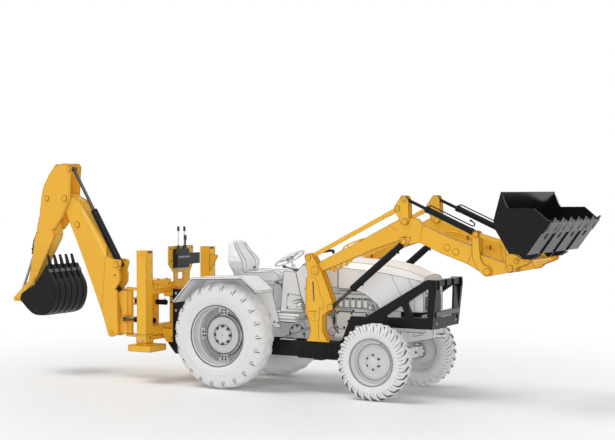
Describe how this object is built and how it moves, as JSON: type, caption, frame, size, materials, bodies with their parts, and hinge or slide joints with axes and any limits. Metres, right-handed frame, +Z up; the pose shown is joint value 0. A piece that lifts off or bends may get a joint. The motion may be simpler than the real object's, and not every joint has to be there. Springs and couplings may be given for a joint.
{
  "type": "backhoe loader",
  "caption": "Farm tractor with a front loader and a side-shift rear backhoe, built of separate jointed pieces with wheels, steering, arms, cylinders and stabilisers that move.",
  "frame": {"origin": "on the ground below the middle of the whole machine's box", "axes": "+X forward, the way the tractor drives; +Y to its left; +Z up"},
  "size_m": [8.1264, 1.9, 2.9363],
  "materials": {
    "yellow": "gloss",
    "black": "satin",
    "body": "matt",
    "casting": "matt",
    "rim": "satin",
    "tyre": "matt",
    "cushion": "matt",
    "wheel_plastic": "matt",
    "rod": "polished"
  },
  "bodies": {
    "chassis": {"gearbox": "casting", "engine_block": "casting", "radiator": "casting", "front_support": "casting", "front_axle": "casting", "dash_cowl": "body", "seat_base": "body", "seat_cushion": "cushion", "seat_backrest": "cushion", "fenders": "body", "platform": "body", "subframe": "black", "loader_posts": "yellow", "front_guard": "black", "backhoe_frame": "yellow", "valve_console": "yellow", "valve_block": "black"},
    "hood": {"hood": "body"},
    "steering_wheel": {"steering_wheel": "wheel_plastic"},
    "knuckle_right": {"knuckle_right": "casting"},
    "knuckle_left": {"knuckle_left": "casting"},
    "wheel_rear_right": {"tyre_rear_right": "tyre", "rim_rear_right": "rim"},
    "wheel_rear_left": {"tyre_rear_left": "tyre", "rim_rear_left": "rim"},
    "wheel_front_right": {"tyre_front_right": "tyre", "rim_front_right": "rim"},
    "wheel_front_left": {"tyre_front_left": "tyre", "rim_front_left": "rim"},
    "loader_arms": {"loader_arms": "yellow"},
    "levelling_links": {"levelling_links": "yellow"},
    "bellcranks": {"bellcranks": "yellow"},
    "lift_barrels": {"lift_barrels": "black"},
    "lift_rods": {"lift_rods": "rod"},
    "tilt_levers": {"tilt_levers": "yellow"},
    "tilt_links": {"tilt_links": "yellow"},
    "tilt_barrels": {"tilt_barrels": "black"},
    "tilt_rods": {"tilt_rods": "black"},
    "loader_bucket": {"bucket_hitch": "yellow", "loader_bucket": "black"},
    "carriage": {"carriage": "yellow", "swing_barrels": "black"},
    "swing_rod_right": {"swing_rod_right": "rod"},
    "swing_rod_left": {"swing_rod_left": "rod"},
    "swing_post": {"swing_post": "yellow"},
    "boom": {"boom": "yellow"},
    "boom_barrel": {"boom_barrel": "black"},
    "boom_rod": {"boom_rod": "rod"},
    "dipper": {"dipper": "yellow"},
    "dipper_barrel": {"dipper_barrel": "black"},
    "dipper_rod": {"dipper_rod": "rod"},
    "hoe_barrel": {"hoe_barrel": "black"},
    "hoe_rod": {"hoe_rod": "rod"},
    "hoe_rocker": {"hoe_rocker": "yellow"},
    "hoe_link": {"hoe_link": "yellow"},
    "hoe_bucket": {"hoe_bucket": "black"},
    "stabiliser_right": {"stabiliser_right": "yellow"},
    "stabiliser_left": {"stabiliser_left": "yellow"}
  },
  "joints": [
    {"name": "rear_wheel_right", "type": "hinge", "parent": "chassis", "child": "wheel_rear_right", "pos_m": [-0.4322, -0.709, 0.69], "axis": [0, 1, 0], "continuous": true},
    {"name": "rear_wheel_left", "type": "hinge", "parent": "chassis", "child": "wheel_rear_left", "pos_m": [-0.4322, 0.709, 0.69], "axis": [0, 1, 0], "continuous": true},
    {"name": "steer_right", "type": "hinge", "parent": "chassis", "child": "knuckle_right", "pos_m": [1.7278, -0.555, 0.47], "axis": [0, 0, 1], "range_deg": [-32, 32]},
    {"name": "steer_left", "type": "hinge", "parent": "chassis", "child": "knuckle_left", "pos_m": [1.7278, 0.555, 0.47], "axis": [0, 0, 1], "range_deg": [-32.5, 32.5]},
    {"name": "front_wheel_right", "type": "hinge", "parent": "knuckle_right", "child": "wheel_front_right", "pos_m": [1.7278, -0.7015, 0.47], "axis": [0, 1, 0], "continuous": true},
    {"name": "front_wheel_left", "type": "hinge", "parent": "knuckle_left", "child": "wheel_front_left", "pos_m": [1.7278, 0.7015, 0.47], "axis": [0, 1, 0], "continuous": true},
    {"name": "steering_wheel_turn", "type": "hinge", "parent": "chassis", "child": "steering_wheel", "pos_m": [0.1428, 0, 1.662], "axis": [-0.5, 0, 0.866], "range_deg": [-390, 390]},
    {"name": "hood_hinge", "type": "hinge", "parent": "chassis", "child": "hood", "pos_m": [1.0578, 0, 1.628], "axis": [0, -1, 0], "range_deg": [0, 40]},
    {"name": "lift", "type": "hinge", "parent": "chassis", "child": "loader_arms", "pos_m": [0.8188, 0, 1.553], "axis": [0, -1, 0], "range_deg": [-34, 25]},
    {"name": "levelling", "type": "hinge", "parent": "chassis", "child": "levelling_links", "pos_m": [0.7198, 0, 1.715], "axis": [0, -1, 0], "range_deg": [-34.5, 25.5]},
    {"name": "bellcrank", "type": "hinge", "parent": "loader_arms", "child": "bellcranks", "pos_m": [2.0528, 0, 2.181], "axis": [0, -1, 0], "range_deg": [-25.5, 34.5]},
    {"name": "lift_barrel_pivot", "type": "hinge", "parent": "loader_arms", "child": "lift_barrels", "pos_m": [2.0398, 0, 1.94], "axis": [0, -1, 0], "range_deg": [-2.35, 3.02]},
    {"name": "lift_rod_slide", "type": "slide", "parent": "lift_barrels", "child": "lift_rods", "axis": [-0.7663, 0, -0.6424], "range_m": [-0.29439, 0.21699]},
    {"name": "tilt", "type": "hinge", "parent": "loader_arms", "child": "loader_bucket", "pos_m": [3.3988, 0, 1.65], "axis": [0, 1, 0], "range_deg": [0, 95]},
    {"name": "tilt_lever_pivot", "type": "hinge", "parent": "loader_arms", "child": "tilt_levers", "pos_m": [3.1178, 0, 1.604], "axis": [0, 1, 0], "range_deg": [-0.5, 60.87]},
    {"name": "tilt_link_pivot", "type": "hinge", "parent": "tilt_levers", "child": "tilt_links", "pos_m": [2.9758, 0, 2.042], "axis": [0, 1, 0], "range_deg": [-30.95, 0.5]},
    {"name": "tilt_barrel_pivot", "type": "hinge", "parent": "tilt_levers", "child": "tilt_barrels", "pos_m": [2.9758, 0, 2.042], "axis": [0, 1, 0], "range_deg": [-66.65, 0.5]},
    {"name": "tilt_rod_slide", "type": "slide", "parent": "tilt_barrels", "child": "tilt_rods", "axis": [-0.9132, 0, 0.4074], "range_m": [-0.002, 0.44778]},
    {"name": "side_shift", "type": "slide", "parent": "chassis", "child": "carriage", "axis": [0, 1, 0], "range_m": [0, 1]},
    {"name": "swing", "type": "hinge", "parent": "carriage", "child": "swing_post", "pos_m": [-2.0822, -0.5, 0.62], "axis": [0, 0, -1], "range_deg": [-90, 90]},
    {"name": "swing_rod_right_slide", "type": "slide", "parent": "carriage", "child": "swing_rod_right", "axis": [-1, 0, 0], "range_m": [-0.14, 0.14]},
    {"name": "swing_rod_left_slide", "type": "slide", "parent": "carriage", "child": "swing_rod_left", "axis": [1, 0, 0], "range_m": [-0.14, 0.14]},
    {"name": "boom_raise", "type": "hinge", "parent": "swing_post", "child": "boom", "pos_m": [-2.3212, -0.5, 0.62], "axis": [0, 1, 0], "range_deg": [-100, 6]},
    {"name": "boom_barrel_pivot", "type": "hinge", "parent": "swing_post", "child": "boom_barrel", "pos_m": [-2.2222, -0.5, 1.12], "axis": [0, 1, 0], "range_deg": [-103.41, 6.67]},
    {"name": "boom_rod_slide", "type": "slide", "parent": "boom_barrel", "child": "boom_rod", "axis": [-0.5856, 0, 0.8106], "range_m": [-0.05008, 0.80327]},
    {"name": "dipper_fold", "type": "hinge", "parent": "boom", "child": "dipper", "pos_m": [-3.1262, -0.5, 2.447], "axis": [0, -1, 0], "range_deg": [-95, 5]},
    {"name": "dipper_barrel_pivot", "type": "hinge", "parent": "boom", "child": "dipper_barrel", "pos_m": [-2.2412, -0.5, 1.545], "axis": [0, -1, 0], "range_deg": [-5.66, 0.77]},
    {"name": "dipper_rod_slide", "type": "slide", "parent": "dipper_barrel", "child": "dipper_rod", "axis": [-0.5217, 0, 0.8531], "range_m": [-0.63002, 0.03505]},
    {"name": "bucket_curl", "type": "hinge", "parent": "dipper", "child": "hoe_bucket", "pos_m": [-3.7722, -0.5, 1.11], "axis": [0, -1, 0], "range_deg": [-140, 3]},
    {"name": "rocker_pivot", "type": "hinge", "parent": "dipper", "child": "hoe_rocker", "pos_m": [-3.7022, -0.5, 1.3], "axis": [0, -1, 0], "range_deg": [-66.01, 1.9]},
    {"name": "link_pivot", "type": "hinge", "parent": "hoe_rocker", "child": "hoe_link", "pos_m": [-4.0272, -0.5, 1.01], "axis": [0, -1, 0], "range_deg": [-0.81, 14.83]},
    {"name": "hoe_barrel_pivot", "type": "hinge", "parent": "dipper", "child": "hoe_barrel", "pos_m": [-3.4342, -0.5, 2.446], "axis": [0, -1, 0], "range_deg": [-13.79, 0.79]},
    {"name": "hoe_rod_slide", "type": "slide", "parent": "hoe_barrel", "child": "hoe_rod", "axis": [-0.3817, 0, -0.9243], "range_m": [-0.35304, 0.00952]},
    {"name": "stabiliser_right_slide", "type": "slide", "parent": "chassis", "child": "stabiliser_right", "axis": [0, 0, 1], "range_m": [-0.5, 0]},
    {"name": "stabiliser_left_slide", "type": "slide", "parent": "chassis", "child": "stabiliser_left", "axis": [0, 0, 1], "range_m": [-0.5, 0]}
  ],
  "couplings": [
    {"joint": "steer_left", "follows": "steer_right", "ratio": 1},
    {"joint": "steering_wheel_turn", "follows": "steer_right", "ratio": 12},
    {"joint": "levelling", "follows": "lift", "ratio": 1},
    {"joint": "bellcrank", "follows": "lift", "ratio": -1},
    {"joint": "lift_barrel_pivot", "follows": "lift", "ratio": -0.072734},
    {"joint": "lift_rod_slide", "follows": "lift", "m_per_rad": 0.48306},
    {"joint": "tilt_lever_pivot", "follows": "tilt", "ratio": 0.62305},
    {"joint": "tilt_link_pivot", "follows": "tilt", "ratio": -0.31423},
    {"joint": "tilt_barrel_pivot", "follows": "tilt", "ratio": -0.68264},
    {"joint": "tilt_rod_slide", "follows": "tilt", "m_per_rad": 0.26359},
    {"joint": "swing_rod_right_slide", "follows": "swing", "m_per_rad": 0.085944},
    {"joint": "swing_rod_left_slide", "follows": "swing", "m_per_rad": 0.085944},
    {"joint": "boom_barrel_pivot", "follows": "boom_raise", "ratio": 1.0089},
    {"joint": "boom_rod_slide", "follows": "boom_raise", "m_per_rad": -0.45009},
    {"joint": "dipper_barrel_pivot", "follows": "dipper_fold", "ratio": 0.053254},
    {"joint": "dipper_rod_slide", "follows": "dipper_fold", "m_per_rad": 0.37134},
    {"joint": "rocker_pivot", "follows": "bucket_curl", "ratio": 0.45877},
    {"joint": "link_pivot", "follows": "bucket_curl", "ratio": -0.10038},
    {"joint": "hoe_barrel_pivot", "follows": "bucket_curl", "ratio": 0.093096},
    {"joint": "hoe_rod_slide", "follows": "bucket_curl", "m_per_rad": 0.14085}
  ]
}
